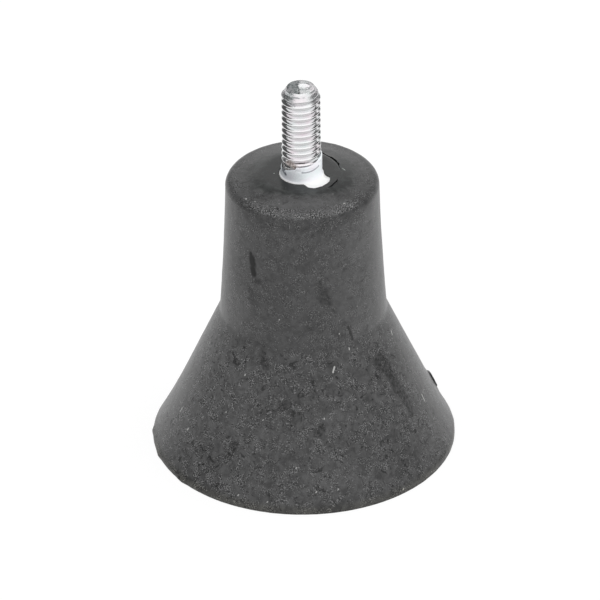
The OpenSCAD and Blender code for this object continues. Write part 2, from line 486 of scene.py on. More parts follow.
def skin_rings(turns):
    """The crack where the rubber has left the flange, and the thin skin inside it."""
    waver = ragged(turns, 9, 5.0)
    width = along(CRACK_WIDTH, turns) * (1 + 0.5 * waver)
    depth = CRACK_DEPTH * np.sqrt(np.clip(width / DEEP_CRACK_W, 0, 1))
    inner = along(CRACK_PATH, turns) + 0.03 * waver
    outer = inner + (width + SHUT_CRACK_W)
    rings = []
    for share in (0.2, 0.5, 0.75):
        r = SEAT_EDGE_R * (1 - share) + outer * share
        rings.append((r, top_height(r)))
    worn = np.clip(depth, 0, 1)
    lip = top_height(outer) + 0.03 * worn
    rings += [(outer + 0.05, lip), (outer, lip - 0.04 * worn),
              (outer - 0.004, lip - depth * 0.5), (outer - 0.006, lip - depth),
              (inner + 0.004, lip - depth), (inner + 0.002, lip - depth * 0.5),
              (inner, lip - 0.03 * worn), (inner - 0.05, lip)]
    hole = torn_hole_radius(turns)
    for share in (0.12, 0.3, 0.5, 0.68, 0.84, 0.94):
        r = inner + (hole - inner) * share
        rings.append((r, top_height(r)))
    rings += [(hole + 0.22, SEAT_Z - 0.02), (hole + 0.11, SEAT_Z - 0.11),
              (hole, SEAT_Z - 0.25), (hole + 0.03, FLANGE_Z + 0.02)]
    return rings


def pocket_rings():
    """The pocket that holds the flange, shank and anchor, with a little slack."""
    slack = 0.02
    floor_z = ANCHOR_FLOOR_Z - slack
    flange_r, shank_r, anchor_r = (r + slack for r in (FLANGE_R, SHANK_R, ANCHOR_R))
    return [(FLANGE_R - 0.4, FLANGE_Z + slack), (flange_r, FLANGE_Z + slack),
            (flange_r, SHANK_Z - slack), (shank_r, SHANK_Z - slack),
            (shank_r, ANCHOR_Z + slack), (ANCHOR_R - ANCHOR_EDGE, ANCHOR_Z + slack),
            (anchor_r, ANCHOR_Z - ANCHOR_EDGE), (anchor_r, ANCHOR_FLOOR_Z + ANCHOR_EDGE),
            (ANCHOR_R - ANCHOR_EDGE, floor_z), (3.4, floor_z)]


def make_rubber_body(material):
    """The moulding, wrapped from the middle of its underside out, up and in."""
    turns = rubber_turns()
    rings = (underside_rings(turns) + skirt_rings(turns) + waist_rings() + neck_rings()
             + skin_rings(turns) + pocket_rings())
    pocket_floor = rings[-1][1]
    mesh = wrap_rings("rubber", turns, rings, HOLLOW_DEPTH, pocket_floor)
    roughen_moulding(mesh)
    follow_stud(mesh)
    return make_piece("moulded_rubber", mesh, material, sharp_angle=38.0)


def follow_stud(mesh):
    """Moves the seat and the cavity aside with the stud, which stands off centre."""
    for vertex in mesh.vertices:
        radius = math.hypot(vertex.co.x, vertex.co.y) / MM
        if vertex.co.z / MM > ANCHOR_FLOOR_Z - 1:
            share = 1 - float(smooth_step(radius, FLANGE_R + 0.2, SEAT_R + 3.0))
            vertex.co.x += STUD_ASIDE * share * MM


def roughen_moulding(mesh):
    """Gives the outer faces the slight lumps of a moulding, a few hundredths deep."""
    for vertex in mesh.vertices:
        place = vertex.co / MM
        radius = math.hypot(place.x, place.y)
        outside = radius > 13.5 or (place.z > SEAT_Z - 0.5 and radius > SEAT_R + 0.8)
        if place.z < LAND_H + 0.3 or not outside:
            continue
        lump = 0.045 * noise.noise(place * 0.16) + 0.03 * noise.noise(place * 0.45)
        lump += 0.012 * noise.noise(place * 1.6)
        out = Vector((place.x, place.y, 0.0)).normalized()
        rise = 0.0
        if place.z > RIM_Z:
            rise = min(1.0, (place.z - RIM_Z) / RIM_R)
        push = (out * (1 - rise) + Vector((0, 0, rise))).normalized()
        vertex.co += push * (lump - 0.02) * MM


# ---------------------------------------------------------------- threaded stud

def thread_tree():
    """Geometry nodes for a threaded shaft: a sheet of rows that follow the helix."""
    tree = bpy.data.node_groups.new("threaded_shaft", "GeometryNodeTree")
    sizes = ("Pitch", "Crest radius", "Thread depth", "Top", "Lead height", "End radius",
             "First crest", "Foot height", "Lead groove", "Run-out height", "Run-out tilt")
    for name in sizes:
        tree.interface.new_socket(name, in_out="INPUT", socket_type="NodeSocketFloat")
    for name in ("Columns", "Rows", "Rows per pitch"):
        tree.interface.new_socket(name, in_out="INPUT", socket_type="NodeSocketInt")
    tree.interface.new_socket("Finish", in_out="INPUT", socket_type="NodeSocketMaterial")
    tree.interface.new_socket("Geometry", in_out="OUTPUT", socket_type="NodeSocketGeometry")
    given = put(tree, "NodeGroupInput").outputs
    times, plus, minus, larger, fade = steps(tree)
    sheet = put(tree, "GeometryNodeMeshGrid", {
        "Size X": 1.0, "Size Y": 1.0,
        "Vertices X": plus(given["Columns"], 1.0), "Vertices Y": given["Rows"]})
    place = put(tree, "ShaderNodeSeparateXYZ",
                {0: put(tree, "GeometryNodeInputPosition").outputs[0]})
    share = plus(place.outputs[0], 0.5)
    last_row = minus(given["Rows"], 1.0)
    row = calc(tree, "ROUND", times(plus(place.outputs[1], 0.5), last_row))
    angle = times(share, 2 * math.pi)
    cosine, sine = calc(tree, "COSINE", angle), calc(tree, "SINE", angle)

    # heights fall row by row and climb one pitch in each turn
    fall = calc(tree, "DIVIDE", row, given["Rows per pitch"])
    climb = times(minus(share, fall), given["Pitch"])
    z = calc(tree, "MINIMUM", plus(given["Top"], climb), given["Top"])
    z = larger(z, given["Foot height"])

    # a 60 degree thread with a narrow crest and a wider root
    phase = minus(calc(tree, "DIVIDE", minus(z, given["First crest"]), given["Pitch"]),
                  share)
    off_crest = calc(tree, "ABSOLUTE", minus(calc(tree, "FRACT", plus(phase, 0.5)), 0.5))
    cut = fade(off_crest, 0.055, 0.40, kind="LINEAR")

    # the thread runs out above the collar, whose edge drops to one side
    runout = plus(given["Run-out height"],
                  times(calc(tree, "MINIMUM", cosine, 0.0), given["Run-out tilt"]))
    above = calc(tree, "DIVIDE", minus(z, runout), given["Pitch"])
    cut = times(cut, fade(above, 0.65, 1.1, 0.1, 1.0))
    radius = minus(given["Crest radius"], times(cut, given["Thread depth"]))
    below_top = calc(tree, "DIVIDE", minus(given["Top"], z), given["Lead height"])
    taper = times(below_top, minus(given["Crest radius"], given["End radius"]))
    groove = times(times(cut, given["Lead groove"]), fade(below_top, 0.1, 0.5))
    lead = minus(plus(given["End radius"], taper), groove)
    radius = calc(tree, "MINIMUM", radius, lead)

    moved = put(tree, "GeometryNodeSetPosition", {
        "Geometry": sheet.outputs["Mesh"],
        "Position": put(tree, "ShaderNodeCombineXYZ", {
            0: times(radius, cosine), 1: times(radius, sine), 2: z}).outputs[0]})
    merged = put(tree, "GeometryNodeMergeByDistance",
                 {"Geometry": moved.outputs[0], "Distance": 4e-6})
    real = put(tree, "GeometryNodeRealizeInstances", {0: merged.outputs[0]})
    finished = put(tree, "GeometryNodeSetMaterial",
                   {"Geometry": real.outputs[0], "Material": given["Finish"]})
    put(tree, "NodeGroupOutput", {0: finished.outputs[0]})
    return tree


def plain_mesh(tree, values):
    """The mesh that a geometry nodes tree makes from the given inputs."""
    holder = bpy.data.objects.new("holder", bpy.data.meshes.new("holder"))
    bpy.context.collection.objects.link(holder)
    modifier = holder.modifiers.new("nodes", "NODES")
    modifier.node_group = tree
    for item in tree.interface.items_tree:
        if item.in_out == "INPUT":
            modifier[item.identifier] = values[item.name]
    graph = bpy.context.evaluated_depsgraph_get()
    mesh = bpy.data.meshes.new_from_object(holder.evaluated_get(graph), depsgraph=graph)
    holder.modifiers.clear()
    bpy.data.objects.remove(holder)
    return mesh


def end_face(x, y):
    """Height of the sheared end: its left half leans, and a low pip stands off centre."""
    leaning = smooth_step(-(x + 0.30 + 0.05 * y), 0.0, 0.35)
    away = np.clip(np.hypot(x - PIP[0], y - PIP[1]) / PIP_R, 0, 1)
    pip = PIP_H * (1 - away ** 2)
    return pip - END_DROP - leaning * (0.14 - 0.10 * y - 0.03 * x)


def end_rings(turns):
    """The sheared end, from its middle out to the lead."""
    angles = np.radians(turns)
    rings = []
    for share in (0.06, 0.13, 0.2, 0.28, 0.36, 0.44, 0.52, 0.6, 0.68, 0.76, 0.84, 0.9):
        r = END_R * share
        x, y = r * np.cos(angles), r * np.sin(angles)
        rough = np.array([noise.noise(Vector((*spot, 2.0)) * 2.2) for spot in zip(x, y)])
        rings.append((r, STUD_Z + end_face(x, y) + 0.025 * rough))
    rings.append((END_R - 0.08, np.minimum(STUD_Z - 0.01, rings[-1][1] + 0.12)))
    return rings


def collar_rings(turns):
    """The collar from its slanted top edge down, with its fillet and the bare flange."""
    lip = along(COLLAR_LIP, turns) + 0.03 * ragged(turns, 8, 4.0)
    rings = [(CREST_R + 0.02, THREAD_FOOT_Z), (CREST_R + 0.02, lip + 0.12),
             (CREST_R + 0.07, lip + 0.12), (COLLAR_R - 0.09, lip + 0.04),
             (COLLAR_R - 0.02, lip - 0.06), (COLLAR_R, lip - 0.2)]
    # a faint ring runs round the front, a little below the top edge
    ring_mark = 0.10 * between_turns(turns, -108, -20, 14)
    for drop, share in ((0.74, 0.0), (0.82, 1.0), (0.90, 1.0), (0.98, 0.0)):
        rings.append((COLLAR_R - share * ring_mark, lip - drop))
    foot = FLANGE_Z + COLLAR_FILLET
    for share in (0.25, 0.5, 0.75, 1.0):
        rings.append((COLLAR_R, (lip - 0.98) * (1 - share) + foot * share))
    # under the skin the fillet stays inside the hole's edge
    inside_hole = torn_hole_radius(turns) - 0.04
    for swing in np.radians((18, 36, 52, 66, 78, 90)):
        z = foot - COLLAR_FILLET * math.sin(swing)
        r = COLLAR_R + COLLAR_FILLET * (1 - math.cos(swing))
        rings.append((np.minimum(r, inside_hole) if z < SEAT_Z else r, z))
    rings += [(r, FLANGE_Z) for r in (6.4, 7.0, 7.6, 8.3, FLANGE_R - 0.1)]
    return rings


def buried_rings():
    """The flange's edge, the shank and the anchor head inside the rubber."""
    bevel, corner = 0.1, 0.3
    return [(FLANGE_R, FLANGE_Z - bevel), (FLANGE_R, SHANK_Z + bevel),
            (FLANGE_R - bevel, SHANK_Z), (SHANK_R + corner, SHANK_Z),
            (SHANK_R, SHANK_Z - corner), (SHANK_R, ANCHOR_Z + corner),
            (SHANK_R + corner, ANCHOR_Z), (ANCHOR_R - ANCHOR_EDGE, ANCHOR_Z),
            (ANCHOR_R, ANCHOR_Z - ANCHOR_EDGE), (ANCHOR_R, ANCHOR_FLOOR_Z + ANCHOR_EDGE),
            (ANCHOR_R - ANCHOR_EDGE, ANCHOR_FLOOR_Z), (3.0, ANCHOR_FLOOR_Z)]


def by_turn(points):
    """Points in order round the axis, where a hair under a whole turn counts as 0."""
    whole_turn = 2 * math.pi - 1e-4
    return sorted(points, key=lambda point: math.atan2(point.co.y, point.co.x) % whole_turn)


def close_off(shell, turns, ring, rings, finishes, pole_z):
    """Joins rings to an open edge, one after the other, and closes the last at a pole.

    Each ring is (radius, height), with one number or an array over the turns for either,
    and has its own finish.
    """
    angles = np.radians(turns)
    for (radius, height), finish in zip(rings, finishes):
        radius = np.broadcast_to(radius, len(turns))
        height = np.broadcast_to(height, len(turns))
        following = [shell.verts.new((r * math.cos(a) * MM, r * math.sin(a) * MM, z * MM))
                     for r, a, z in zip(radius, angles, height)]
        for i in range(len(ring)):
            j = (i + 1) % len(ring)
            face = shell.faces.new((ring[i], ring[j], following[j], following[i]))
            face.material_index = finish
        ring = following
    pole = shell.verts.new((0, 0, pole_z * MM))
    for i in range(len(ring)):
        face = shell.faces.new((ring[i], ring[(i + 1) % len(ring)], pole))
        face.material_index = finishes[-1]


def make_threaded_stud(bright, satin):
    """The thread from its nodes, closed by its sheared end above and the collar below."""
    rows = int(ROWS_PER_PITCH * ((STUD_Z - THREAD_FOOT_Z) / PITCH + 1)) + 2
    mesh = plain_mesh(thread_tree(), {
        "Pitch": PITCH * MM, "Crest radius": CREST_R * MM,
        "Thread depth": THREAD_DEPTH * MM, "Top": STUD_Z * MM,
        "Lead height": LEAD_H * MM, "End radius": END_R * MM,
        "First crest": FIRST_CREST_Z * MM, "Foot height": THREAD_FOOT_Z * MM,
        "Lead groove": LEAD_GROOVE * MM, "Run-out height": RUNOUT_Z * MM,
        "Run-out tilt": RUNOUT_TILT * MM,
        "Columns": STUD_COLUMNS, "Rows": rows,
        "Rows per pitch": ROWS_PER_PITCH, "Finish": bright})
    mesh.materials.clear()
    mesh.materials.append(bright)

    shell = bmesh.new()
    shell.from_mesh(mesh)
    turns = np.arange(STUD_COLUMNS) * 360.0 / STUD_COLUMNS
    open_edges = by_turn(v for v in shell.verts if v.is_boundary)
    upper = [v for v in open_edges if v.co.z > LEAD_Z * MM]
    lower = [v for v in open_edges if v.co.z <= LEAD_Z * MM]
    end = end_rings(turns)[::-1]
    end_middle = STUD_Z + float(end_face(np.array(0.0), np.array(0.0)))
    close_off(shell, turns, upper, end, [BRIGHT] * (len(end) + 1), end_middle)
    foot = collar_rings(turns) + buried_rings()
    finishes = [SATIN if np.mean(height) > FLANGE_Z - 0.05 else BRIGHT
                for _, height in foot]
    close_off(shell, turns, lower, foot, finishes + [SATIN], ANCHOR_FLOOR_Z)
    for vertex in shell.verts:
        vertex.co.x += STUD_ASIDE * MM
    shell.to_mesh(mesh)
    shell.free()
    return make_piece("steel_stud", mesh, satin, sharp_angle=50.0)


# ---------------------------------------------------------------- materials

def new_material(name):
    material = bpy.data.materials.new(name)
    material.use_nodes = True
    tree = material.node_tree
    tree.nodes.clear()
    output = put(tree, "ShaderNodeOutputMaterial")
    return material, tree, output


def place_in_mm(tree):
    """Object coordinates in millimetres, whole and as x, y and z."""
    where = put(tree, "ShaderNodeTexCoord").outputs["Object"]
    scaled = put(tree, "ShaderNodeVectorMath", operation="SCALE")
    feed(tree, scaled.inputs[0], where)
    scaled.inputs["Scale"].default_value = 1 / MM
    parts = put(tree, "ShaderNodeSeparateXYZ", {0: scaled.outputs[0]}).outputs
    return scaled.outputs[0], *parts


def radius_from(tree, x, y):
    """How far x and y are from the axis."""
    squares = [calc(tree, "MULTIPLY", part, part) for part in (x, y)]
    return calc(tree, "SQRT", calc(tree, "ADD", *squares))


def mark_tree():
    """Shader nodes for a small mark along the line between two points."""
    tree = bpy.data.node_groups.new("short_mark", "ShaderNodeTree")
    for name in ("Place", "From", "To"):
        tree.interface.new_socket(name, in_out="INPUT", socket_type="NodeSocketVector")
    tree.interface.new_socket("Half width", in_out="INPUT", socket_type="NodeSocketFloat")
    tree.interface.new_socket("Mark", in_out="OUTPUT", socket_type="NodeSocketFloat")
    given = put(tree, "NodeGroupInput").outputs

    def vector(operation, first, second):
        return put(tree, "ShaderNodeVectorMath", {0: first, 1: second},
                   operation=operation)

    line = vector("SUBTRACT", given["To"], given["From"]).outputs[0]
    off = vector("SUBTRACT", given["Place"], given["From"]).outputs[0]
    share = calc(tree, "DIVIDE", vector("DOT_PRODUCT", off, line).outputs["Value"],
                 vector("DOT_PRODUCT", line, line).outputs["Value"], clamp=True)
    along_line = put(tree, "ShaderNodeVectorMath", {0: line}, operation="SCALE")
    feed(tree, along_line.inputs["Scale"], share)
    away = vector("DISTANCE", off, along_line.outputs[0]).outputs["Value"]
    near = ramp(tree, calc(tree, "DIVIDE", away, given["Half width"]), 1.15, 0.45)
    put(tree, "NodeGroupOutput", {0: near})
    return tree


def at_turn(turn, radius, z):
    angle = math.radians(turn)
    return (radius * math.cos(angle), radius * math.sin(angle), z)


def on_side(turn, z):
    """Place on the rubber's side, in millimetres."""
    return at_turn(turn, skirt_radius(z) if z < SKIRT_H else neck_radius(z), z)


def on_top(turn, radius):
    """Place on the rubber's top, in millimetres."""
    return at_turn(turn, radius, top_height(radius))


def on_collar(turn, z):
    """Place on the stud's collar, in millimetres."""
    x, y, z = at_turn(turn, COLLAR_R, z)
    return (STUD_ASIDE + x, y, z)


def lines_on(where, table):
    """A table's marks as (from, to, half width), with their ends laid on the surface."""
    return [(where(*row[0:2]), where(*row[2:4]), row[4]) for row in table]


def marks(tree, place, scale, reach, lines):
    """1 on any of the marks, whose edges are made ragged by noise of that scale and reach.

    Each mark is given as (from, to, half width).
    """
    stir = put(tree, "ShaderNodeTexNoise", {"Vector": place, "Scale": scale,
                                            "Detail": 2.0})
    push = put(tree, "ShaderNodeVectorMath", {0: stir.outputs["Color"],
                                              1: (0.5, 0.5, 0.5)}, operation="SUBTRACT")
    moved = put(tree, "ShaderNodeVectorMath", {0: push.outputs[0],
                                               1: (reach, reach, reach), 2: place},
                operation="MULTIPLY_ADD").outputs[0]
    total = 0.0
    for start, end, half_width in lines:
        node = put(tree, "ShaderNodeGroup", node_tree=short_mark)
        feed(tree, node.inputs["Place"], moved)
        node.inputs["From"].default_value = start
        node.inputs["To"].default_value = end
        node.inputs["Half width"].default_value = half_width
        total = calc(tree, "MAXIMUM", total, node.outputs[0])
    return total


def rubber_zones(tree, place, x, y, z, mottle):
    """Where the moulding's finish changes and shade is painted: the rim, the seat, the crease
    and the gate.
    """
    times, plus, minus, _, fade = steps(tree)
    on = SimpleNamespace(x=x, z=z, radius=radius_from(tree, x, y))
    on.upper = fade(z, 67.5, 70.5)
    on.front = fade(y, -9.0, -14.0)
    # the turn about the middle of the rim's rounding, from the outside to the top
    on.swing = calc(tree, "ARCTAN2", minus(z, RIM_Z), minus(on.radius, TOP_R - RIM_R))

    # the seat round the stud is darker, with an edge further out on both sides than in front
    ragged_radius = plus(on.radius, fade(mottle, *MOTTLE_SPAN, -0.7, 0.7, "LINEAR"))
    ragged_radius = plus(ragged_radius, fade(y, -7.0, -11.0, 0.0, 1.5))
    aside = fade(calc(tree, "ABSOLUTE", x), 5.0, 10.0, 0.0, 1.1)
    on.seat = times(on.upper, fade(minus(ragged_radius, aside), 12.9, 9.9))
    on.inner_seat = times(on.upper, fade(on.radius, 9.3, 8.6))
    on.dull = minus(1.0, times(on.seat, 0.6))

    # painted shade lies in the crease and under the rim
    on.crease = times(times(fade(z, 34.0, 35.6), fade(z, 36.45, 36.0)),
                      fade(y, -19.0, -16.5, 0.25, 1.0))
    on.under_rim = times(times(fade(z, 66.6, 68.6), fade(on.swing, 0.72, 0.42)),
                         plus(0.10, times(on.front, 0.05)))

    # the torn face of the gate has no bloom yet, and its edge is painted dark as shade
    from_gate = put(tree, "ShaderNodeVectorMath", {0: place, 1: on_side(GATE_TURN, GATE_Z)},
                    operation="DISTANCE").outputs["Value"]
    on.torn_gate = fade(from_gate, GATE_R + 0.15, GATE_R - 0.2)
    on.gate_edge = fade(calc(tree, "ABSOLUTE", minus(from_gate, GATE_R)), 0.35, 0.12)
    return on


def bloom_film_and_painted_light(tree, place, on, mottle):
    """How thick the grey bloom lies, with painted light and shade in it: most on the neck's
    right side and round the rim.
    """
    times, plus, minus, _, fade = steps(tree)
    cloud = fade(grain(tree, place, 0.09, 3.0, 0.55), 0.3, 0.7, -0.06, 0.08)
    film_and_painted_light = plus(plus(cloud, mottle), 0.24)
    on_neck = times(fade(on.z, 29.0, 35.0), fade(on.z, 70.0, 67.0))
    # painted light from the right: more film on the neck's right side
    film_and_painted_light = plus(film_and_painted_light, times(times(on_neck, fade(on.x, 3.0, 15.0)), 0.13))
    film_and_painted_light = plus(film_and_painted_light, times(fade(on.x, -9.0, -14.0), fade(on.z, 44.0, 56.0, 0.0, -0.06)))
    on_skirt = fade(on.z, 36.0, 32.0)
    film_and_painted_light = plus(film_and_painted_light, times(on_skirt, plus(times(mottle, 0.5), -0.01)))
    film_and_painted_light = plus(film_and_painted_light, fade(on.z, 5.0, 1.0, 0.0, -0.05))
    film_and_painted_light = plus(film_and_painted_light, times(fade(on.x, -7.0, -17.0), fade(on.z, 48.0, 42.0, 0.0, 0.08)))
    # the rim's rounding carries more bloom, and its front more still as a painted highlight
    film_and_painted_light = plus(film_and_painted_light, times(times(on.upper, fade(on.swing, 0.5, 0.9)),
                            plus(0.13, times(on.front, 0.29))))
    # less film on the seat and the torn gate; painted shade in the crease and under the rim
    bare = plus(times(on.seat, 0.34), plus(times(on.inner_seat, 0.12),
                                           times(on.crease, 0.12)))
    bare = plus(bare, times(on.torn_gate, 0.16))
    return minus(film_and_painted_light, plus(bare, on.under_rim), clamp=True)


def bloom_speckles(tree, place, on):
    """How strong the speckles are: thin on the neck, thick on the skirt and front rim."""
    times, plus, minus, _, fade = steps(tree)
    on_rim = times(times(fade(on.swing, 0.45, 0.85), fade(on.radius, 14.8, 15.8)),
                   times(plus(0.2, on.front),
                         fade(grain(tree, place, 0.2, 2.0), 0.38, 0.62, 0.1, 1.2)))
    patches = fade(grain(tree, place, 0.45, 3.0, 0.6, 0.5), 0.42, 0.60, 0.05, 1.1)
    density = plus(times(fade(on.z, *WAIST_BAND, 0.75, 1.0), patches), on_rim)
    flat_top = times(on.upper, fade(on.radius, 15.2, 14.2))
    density = times(density, minus(on.dull, times(flat_top, 0.35), clamp=True))
    density = times(density, minus(1.0, times(on.torn_gate, 0.7)))
    strength = times(times(density, fade(on.z, *WAIST_BAND, 0.62, 0.78)),
                     fade(on.z, 14.0, 5.0, 1.0, 0.9))
    strength = times(strength, fade(on.x, -9.0, -17.0, 1.0, 1.4))
    return plus(strength, times(on_rim, 0.2))


def dark_wear_and_edge_shade(tree, place, on):
    """Dark rubs, deep smudges, and painted shade round the gate's edge."""
    times, _, _, larger, fade = steps(tree)
    scuff = marks(tree, place, 1.3, 0.5, lines_on(on_side, SCUFF))
    rubs = marks(tree, place, 0.9, 1.8, lines_on(on_side, DARK_RUBS))
    smudge = fade(grain(tree, place, 0.5, 3.0, 0.6, 1.6), 0.42, 0.33)
    smudge = times(smudge, times(fade(on.z, *WAIST_BAND, 0.35, 0.75), on.dull))
    rubs = times(times(rubs, fade(grain(tree, place, 1.4, 3.0), 0.36, 0.60, 0.8, 0.3)),
                 fade(on.z, 34.0, 40.0, 1.0, 0.7))
    scuff = times(scuff, fade(on.z, 40.0, 46.0, 0.65, 0.95))
    return larger(larger(scuff, larger(rubs, smudge)), times(on.gate_edge, 0.7))


def pale_wear(tree, place):
    """Crumbs strewn all over, and the larger flecks."""
    times, _, _, larger, fade = steps(tree)
    crumbs = put(tree, "ShaderNodeTexVoronoi", {"Vector": place, "Scale": 0.55})
    chosen = put(tree, "ShaderNodeSeparateColor", {0: crumbs.outputs["Color"]}).outputs
    size = fade(chosen[1], 0.0, 1.0, 0.05, 0.11, "LINEAR")
    crumb = fade(calc(tree, "DIVIDE", crumbs.outputs["Distance"], size), 1.1, 0.6)
    crumb = times(times(crumb, fade(chosen[0], 0.80, 0.84)), 0.35)
    flecks = marks(tree, place, 3.0, 0.25,
                   lines_on(on_side, SIDE_FLECKS) + lines_on(on_top, TOP_FLECKS))
    return larger(crumb, times(flecks, 0.9))


def make_rubber_finish():
    """Matt black rubber with a grey bloom that lies in fine speckles and patches."""
    material, tree, output = new_material("black_rubber_bloom")
    times, plus, _, larger, fade = steps(tree)
    place, x, y, z = place_in_mm(tree)
    mottle = fade(grain(tree, place, 0.55, 4.0, 0.65, 0.6), 0.3, 0.7, *MOTTLE_SPAN)
    fine = grain(tree, place, 4.2, 1.0, 0.5)
    on = rubber_zones(tree, place, x, y, z, mottle)

    # the film holds painted light, a painted highlight on the rim and painted shade
    film_and_painted_light = bloom_film_and_painted_light(tree, place, on, mottle)
    colour = blend_colours(tree, film_and_painted_light, grey(0.014, 0.0003), grey(0.115, 0.001))
    strength = bloom_speckles(tree, place, on)
    pits = times(fade(fine, 0.50, 0.34), strength)
    colour = blend_colours(tree, pits, colour, SOOT)
    specks = times(fade(fine, 0.53, 0.70), times(strength, 0.9))
    colour = blend_colours(tree, specks, colour, grey(0.25, 0.002))
    # dark rubs and smudges, with painted shade round the gate's edge
    dark = dark_wear_and_edge_shade(tree, place, on)
    colour = blend_colours(tree, dark, colour, SOOT)
    colour = blend_colours(tree, pale_wear(tree, place), colour, grey(0.42, -0.01))

    # a warm tinge of dirt near the floor edge, and a green one on the seat
    colour = tinge(tree, times(fade(z, 2.6, 0.8), 0.8), colour, (0.92, 0.9, 0.78, 1.0))
    colour = tinge(tree, on.seat, colour, (0.90, 1.0, 0.95, 1.0))

    relief = plus(times(fine, 0.8), times(grain(tree, place, 7.0, 2.0), 0.35))
    bump = put(tree, "ShaderNodeBump", {"Height": plus(relief, mottle), "Strength": 0.3,
                                        "Distance": 0.00008})
    shader = put(tree, "ShaderNodeBsdfPrincipled", {
        "Base Color": colour, "IOR": 1.5, "Normal": bump.outputs[0],
        "Roughness": fade(film_and_painted_light, 0.0, 1.0, 0.34, 0.52, "LINEAR"),
        "Specular IOR Level": fade(larger(dark, pits), 0.0, 1.0, 0.5, 0.22, "LINEAR"),
        "Sheen Weight": 0.2, "Sheen Roughness": 0.3})
    feed(tree, output.inputs[0], shader.outputs[0])
    return material


def make_zinc_finish(name, base, roughness, rough_spread):
    """Zinc plating, a little uneven in tint, with all that a finish needs to wear it."""
    material, tree, output = new_material(name)
    place, x, y, z = place_in_mm(tree)
    tint = grain(tree, place, 0.35, 2.0, 0.5)
    colour = tinge(tree, ramp(tree, tint, 0.45, 0.68), base, (1.0, 0.95, 0.97, 1.0))
    colour = tinge(tree, ramp(tree, tint, 0.5, 0.3), colour, (0.97, 1.0, 0.99, 1.0))
    fine = grain(tree, place, 6.0, 3.0, 0.6)
    rough = ramp(tree, fine, 0.3, 0.7, roughness - rough_spread, roughness + rough_spread,
                 "LINEAR")
    return material, tree, output, place, (x, y, z), colour, rough


def finish_zinc(tree, output, place, colour, rough, metallic):
    """Joins the worn plating to its output, with the fine lumps of plated steel."""
    bump = put(tree, "ShaderNodeBump", {"Height": grain(tree, place, 2.6, 3.0, 0.6),
                                        "Strength": 0.22, "Distance": 0.00006})
    shader = put(tree, "ShaderNodeBsdfPrincipled", {
        "Base Color": colour, "Roughness": rough, "Metallic": metallic,
        "Normal": bump.outputs[0]})
    feed(tree, output.inputs[0], shader.outputs[0])


def end_dirt_and_shade(tree, place, x, y, z, radius):
    """Dirt with painted reflection and shade on the sheared end, dirt on its lead, and where
    they are torn and not smooth.
    """
    times, plus, minus, larger, fade = steps(tree)
    # the sheared end: dark left of a curved line, partly dirt and partly a painted dark
    # reflection, with a ring of painted shade on its clean part
    mottle = grain(tree, place, 1.7, 3.0, 0.65)
    spots = fade(mottle, 0.34, 0.60)
    face = times(fade(radius, END_R, END_R - 0.15), fade(z, STUD_Z - 0.6, STUD_Z - 0.5))
    past_line = minus(plus(x, fade(mottle, 0.3, 0.7, -0.3, 0.3)), times(times(y, y), 0.08))
    left = fade(past_line, -0.4, -0.95)
    dark = times(left, fade(spots, 0.0, 1.0, 0.88, 0.45))
    off_ring = minus(radius_from(tree, plus(x, -SHADE_RING[0]), plus(y, -SHADE_RING[1])),
                     SHADE_RING_R)
    ring = times(fade(calc(tree, "ABSOLUTE", off_ring), 0.35, 0.1),
                 fade(spots, 0.2, 1.0, 0.6, 0.1))
    dirt_and_shade = times(face, larger(dark, ring))

    # its tapered lead: mottled on both sides and clean in front
    lead = times(fade(z, LEAD_Z - 0.9, LEAD_Z), minus(1.0, face))
    aside = larger(fade(x, -0.9, -2.3), fade(x, 1.9, 3.2, 0.0, 0.8))
    dots = fade(grain(tree, place, 3.4, 2.0, 0.6), 0.42, 0.58, 0.8, 0.12)
    dirt_and_shade = larger(dirt_and_shade, times(times(lead, aside), dots))
    line = marks(tree, place, 3.0, 0.2, [((-2.1, -3.2, 95.4), (-0.3, -3.85, 95.45), 0.2),
                                         ((-0.3, -3.85, 95.45), (1.6, -3.5, 95.6), 0.18)])
    dirt_and_shade = larger(dirt_and_shade, times(line, 0.7))
    torn = larger(times(face, larger(left, fade(off_ring, -0.5, 0.1))), lead)
    return dirt_and_shade, torn


def stain_foot(tree, place, colour):
    """A brown stain at the foot of the thread, in front on the left, darker along the
    collar's edge, and some grease.

    Returns the colour with both on it, and how much of the metal the stain covers.
    """
    times, _, _, larger, fade = steps(tree)
    stain = marks(tree, place, 1.8, 0.8, [((-3.4, -2.9, 77.6), (-1.4, -4.3, 76.8), 0.85)])
    blotch = fade(grain(tree, place, 2.6, 3.0, 0.7), 0.36, 0.62)
    brown = blend_colours(tree, blotch, (0.17, 0.14, 0.13, 1.0), (0.52, 0.46, 0.44, 1.0))
    colour = blend_colours(tree, stain, colour, brown)
    # darker still along the collar's top edge there
    dark_edge = marks(tree, place, 2.2, 0.3,
                      [((-3.7, -2.8, 75.5), (-3.1, -3.4, 75.8), 0.5),
                       ((-3.1, -3.4, 75.8), (-1.3, -4.5, 76.25), 0.42),
                       ((-4.4, -1.2, 76.8), (-3.9, -2.5, 75.5), 0.6)])
    colour = blend_colours(tree, times(dark_edge, fade(blotch, 0.0, 1.0, 0.95, 0.6)),
                           colour, (0.055, 0.045, 0.045, 1.0))
    grease = marks(tree, place, 3.0, 0.2, [((-1.7, -4.0, 77.95), (0.6, -4.3, 78.0), 0.24)])
    colour = blend_colours(tree, times(grease, 0.75), colour, (0.12, 0.13, 0.10, 1.0))
    return colour, larger(stain, dark_edge)


